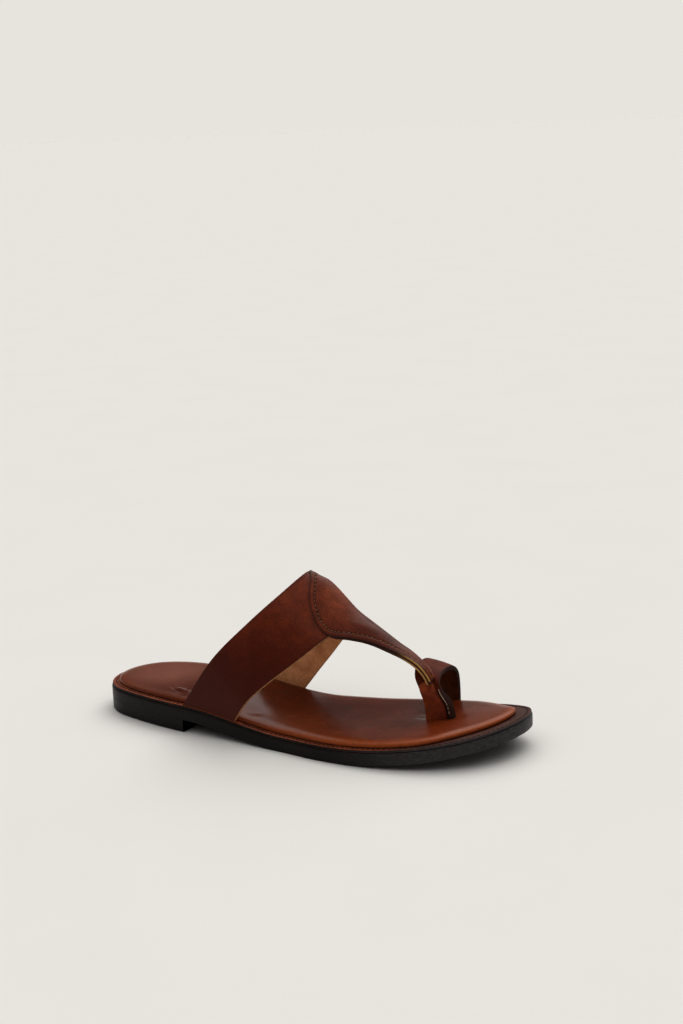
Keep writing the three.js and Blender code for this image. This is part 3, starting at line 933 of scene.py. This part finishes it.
def wrap_point(u, v):
    top = mix(WRAP_TOP, WRAP_TOP_REAR, ease((v - WRAP_SLOPE_START) / (1 - WRAP_SLOPE_START)))
    t, across = mix(0.0, top, u), mix(*WRAP_SPAN, v)
    taper_start, taper = WRAP_TAPER
    puff = WRAP_BULGE * (1 - (2 * v - 1) ** 4) ** 0.5
    puff *= 1 - taper * ease((u - taper_start) / (1 - taper_start))
    return ring_point(t, across) + ring_normal(t, across) * (puff - WRAP_SINK)


def flange_point(u, v):
    t, across = mix(0.0, FLANGE_TOP, u), mix(*FLANGE_SPAN, v)
    return ring_point(t, across) - ring_normal(t, FLANGE_SEAM) * FLANGE_SINK


wrap_leather = leather(
    "wrap_leather", deep=(0.12, 0.016, 0.0035), body=(0.20, 0.034, 0.007),
    warm=(0.36, 0.08, 0.016), patch=16, rim=(1.5, (0.05, 0.01, 0.004), 0.6),
    gloss=(0.38, 0.5), grain=1.1, depth=0.3, stretch=(1, 1, 1.9))
flange_leather = leather(
    "flange_leather", deep=(0.018, 0.006, 0.004), body=(0.03, 0.010, 0.006),
    warm=(0.06, 0.02, 0.01), patch=6, gloss=(0.5, 0.7), grain=0.8, depth=0.15)
wrap = sheet_of("post_wrap", *WRAP_CELLS, wrap_point)
flange = sheet_of("post_flange", *FLANGE_CELLS, flange_point)
for piece, thick, skin in ((wrap, WRAP_THICK, wrap_leather), (flange, FLANGE_THICK, flange_leather)):
    lay(piece, 0)
    rims = open_rims(piece)
    thicken(piece, thick, EDGE_ROUNDING, skin, inked_edge)
    note_distance(piece, rims)
    smooth_shade(piece, 50)
    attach(piece, "root")

pale_thread = thread_material("pale_thread", (0.22, 0.13, 0.08), (0.75, 0.60, 0.45), 0.35)
post_seam = []
for i in range(POST_STITCHES):
    t = mix(*POST_SEAM_SPAN, i / (POST_STITCHES - 1))
    here = ring_point(t, FLANGE_SEAM)
    ahead = ring_point(t + 0.01, FLANGE_SEAM)
    out = ring_normal(t, FLANGE_SEAM)
    post_seam.append((on_last(*(here - out * POST_SEAM_SINK)), (ahead - here).normalized(), out))
post_stitches = sew("post_stitches", post_seam, pale_thread, length=1.7, width=0.6, sink=0.1)
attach(post_stitches, "root")


# ---- Centre overlay -----------------------------------------------------------------------------
# A second leather laid on the band and strap: a point at the band's rear edge, widening to the
# strap's edges and narrowing with the strap to its tip. It is sewn down 3 mm inside its edge.
OVERLAY_THICK = 1.1
OVERLAY_LIFT = 1.5           # its right side above the band's
OVERLAY_EDGE_LIFT = 1.12     # the same at its skived edge
OVERLAY_ROUNDING = 2.4       # width of the skived edge
OVERLAY_PLUMP = 1.0          # how much it swells inside its seam
PLUMP_REACH = 7              # from the seam inwards
OVERLAY_START = 0.06         # rows of the band and strap
OVERLAY_END = 8.75
OVERLAY_SHOULDER = 1.15      # over 1, its point at the band's rear edge is more slender
STITCH_INSET = 3.0
STITCH_PITCH = 2.4
SEAM_WIDTH = 0.55            # half width of the groove that the thread presses
SEAM_SINK = 0.3
PUCKER = 0.2                 # how much deeper it gets, once for each stitch
OVERLAY_ROWS = 150           # cells along and across
OVERLAY_LANES = 52
BAND_SHARE = 0.42            # of the cells along
EDGE_CROWDING = 0.7          # how far the cells crowd towards the edges
SIDE_SAMPLES = 400           # places along each edge
SEAM_ENDS = (8, 4)           # samples without stitches at the start and the end
NEEDLE_LIFT = 6              # each stitch is brought down onto the leather from this high


def overlay_reach(row):
    """How far the overlay spreads towards the strap's edges, from 0 to 1."""
    if row >= BAND_ROWS:
        return 1
    return (1 - (1 - row / BAND_ROWS) ** 2) ** OVERLAY_SHOULDER


def overlay_point(u, v):
    share = u * OVERLAY_ROWS
    on_band = OVERLAY_ROWS * BAND_SHARE
    if share <= on_band:
        row = mix(OVERLAY_START, BAND_ROWS, share / on_band)
    else:
        row = mix(BAND_ROWS, OVERLAY_END, (share - on_band) / (OVERLAY_ROWS - on_band))
    lane = mix(2 * v - 1, math.sin((v - 0.5) * math.pi), EDGE_CROWDING)
    return form(row, lane * overlay_reach(row))


overlay = sheet_of("centre_overlay_leather", OVERLAY_LANES, OVERLAY_ROWS, overlay_point)
side_rows = [mix(OVERLAY_START, OVERLAY_END, i / SIDE_SAMPLES) for i in range(SIDE_SAMPLES + 1)]
sides = {side: [form(row, side * overlay_reach(row)) for row in side_rows] for side in (-1, 1)}
edge_points = sides[-1] + sides[1]
run = [0.0]                  # length along the edge up to each of its points
for a, b in zip(edge_points, edge_points[1:]):
    run.append(run[-1] + (b - a).length)
overlay_edge = tree_of(edge_points)


def overlay_lift(v):
    """Rounded off at the edge, plump inside it, pressed down and puckered along the seam."""
    _, i, away = overlay_edge.find(v.co)
    pucker = PUCKER * (0.5 + 0.5 * math.cos(run[i] / STITCH_PITCH * math.tau))
    lift = mix(OVERLAY_EDGE_LIFT, OVERLAY_LIFT, ease(away / OVERLAY_ROUNDING))
    lift -= (SEAM_SINK + pucker) * bell(away - STITCH_INSET, SEAM_WIDTH)
    return lift + OVERLAY_PLUMP * ease((away - STITCH_INSET) / PLUMP_REACH)


lay(overlay, overlay_lift)
overlay_leather = leather(
    "overlay_leather", deep=(0.085, 0.0135, 0.0042), body=(0.145, 0.027, 0.0085),
    warm=(0.24, 0.055, 0.018), patch=38, rim=(1.6, (0.03, 0.006, 0.0025), 0.85),
    seam=(STITCH_INSET, (0.018, 0.004, 0.002), 0.7), gloss=(0.32, 0.42), grain=0.9,
    depth=0.09, specular=0.13)
overlay_edge_skin = raw_edge("overlay_raw_edge", (0.03, 0.009, 0.005), (0.70, 0.40, 0.12),
                             [STRAP_TIP])
overlay_rims = open_rims(overlay)
thicken(overlay, OVERLAY_THICK, EDGE_ROUNDING, overlay_leather, overlay_edge_skin)
note_distance(overlay, overlay_rims)
smooth_shade(overlay, 50)
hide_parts("centre_overlay")
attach(overlay, "root")

surface = BVHTree.FromObject(overlay, bpy.context.evaluated_depsgraph_get())
overlay_seam = []
for side, path in sides.items():
    travelled = 0.0
    last_stitch = -STITCH_PITCH
    for i in range(SEAM_ENDS[0], SIDE_SAMPLES - SEAM_ENDS[1]):
        travelled += (path[i] - path[i - 1]).length
        if travelled - last_stitch < STITCH_PITCH:
            continue
        along = (path[i + 1] - path[i - 1]).normalized()
        nearer_ridge = form(side_rows[i], side * overlay_reach(side_rows[i]) * 0.8)
        inner = nearer_ridge - path[i]
        inner = (inner - along * inner.dot(along)).normalized()
        up = (inner.cross(along) * side).normalized()
        aim = on_last(*(path[i] + inner * STITCH_INSET + up * NEEDLE_LIFT))
        place = surface.ray_cast(aim, -up)[0]
        if place:
            last_stitch = travelled
            overlay_seam.append((place, along, up))
tan_thread = thread_material("tan_thread", (0.10, 0.035, 0.012), (0.40, 0.19, 0.075))
overlay_stitches = sew("overlay_stitches", overlay_seam, tan_thread, length=1.5, width=0.55,
                       sink=0.2)
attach(overlay_stitches, "root")


# ---- Studio -------------------------------------------------------------------------------------
# A pale seamless floor in a room that is bright along the horizon and overhead and dim between,
# with a broad soft key from above the sandal's inner side. The camera looks down on the outer side,
# a little from the front.
FLOOR_SIZE = 120             # metres
AZIMUTH = math.radians(30.78)
ELEVATION = math.radians(12.43)
ROLL = math.radians(-2.55)
CAMERA_DISTANCE = 1.0046
AIM_RIGHT = 0.0192           # the view's middle, from the sandal's middle on the floor
AIM_UP = 0.1216
LENS = 62.16
KEY_FROM = (-0.12, 0.85, 1.0)

bpy.ops.object.select_all(action="DESELECT")
bpy.ops.mesh.primitive_plane_add(size=FLOOR_SIZE)
floor = bpy.context.object
floor.name = "floor"
paper = new_material("floor_paper")
place = own_place(paper)
pale = ramp(paper, noise(paper, place, 90), (0.3, (0.765, 0.754, 0.730)),
            (0.7, (0.775, 0.764, 0.740)))
finish_shader(paper, pale, 0.9, bumps(paper, (noise(paper, place, 3), 0.05, 0.1)),
              Specular_IOR_Level=0.0)
floor.data.materials.append(paper)

back = Vector((math.sin(AZIMUTH) * math.cos(ELEVATION), -math.cos(AZIMUTH) * math.cos(ELEVATION),
               math.sin(ELEVATION)))
level_right = Vector((math.cos(AZIMUTH), math.sin(AZIMUTH), 0))
level_up = back.cross(level_right)
right = level_right * math.cos(ROLL) + level_up * math.sin(ROLL)
up = level_up * math.cos(ROLL) - level_right * math.sin(ROLL)
lens = bpy.data.cameras.new("camera")
lens.lens = LENS
lens.sensor_width = 36
lens.clip_start = 0.05
lens.clip_end = 500
camera = bpy.data.objects.new("camera", lens)
bpy.context.scene.collection.objects.link(camera)
aim = on_last(LENGTH / 2, 0, 0) + right * AIM_RIGHT + up * AIM_UP
camera.matrix_world = (Matrix.Translation(aim + back * CAMERA_DISTANCE)
                       @ Matrix((right, up, back)).transposed().to_4x4())
bpy.context.scene.camera = camera

sun = bpy.data.lights.new("key", "SUN")
sun.energy = 1.6
sun.angle = math.radians(60)
sun.color = (1.0, 0.985, 0.965)
key = bpy.data.objects.new("key", sun)
key.rotation_mode = "QUATERNION"
key.rotation_quaternion = Vector(KEY_FROM).normalized().to_track_quat("Z", "Y")
bpy.context.scene.collection.objects.link(key)

world = bpy.data.worlds.new("room")
world.use_nodes = True
bpy.context.scene.world = world
height = axis(world, node(world, "ShaderNodeTexCoord")["Generated"], "Z")
walls = ramp(world, height, (0.11, (0.823, 0.802, 0.761)), (0.16, (0.09, 0.085, 0.082)),
             (0.45, (0.12, 0.118, 0.115)), (0.75, (1.0, 0.99, 0.975)))
world.node_tree.links.new(walls, world.node_tree.nodes["Background"].inputs["Color"])
bpy.context.scene.view_settings.view_transform = "Standard"
bpy.context.scene.view_settings.gamma = 0.87
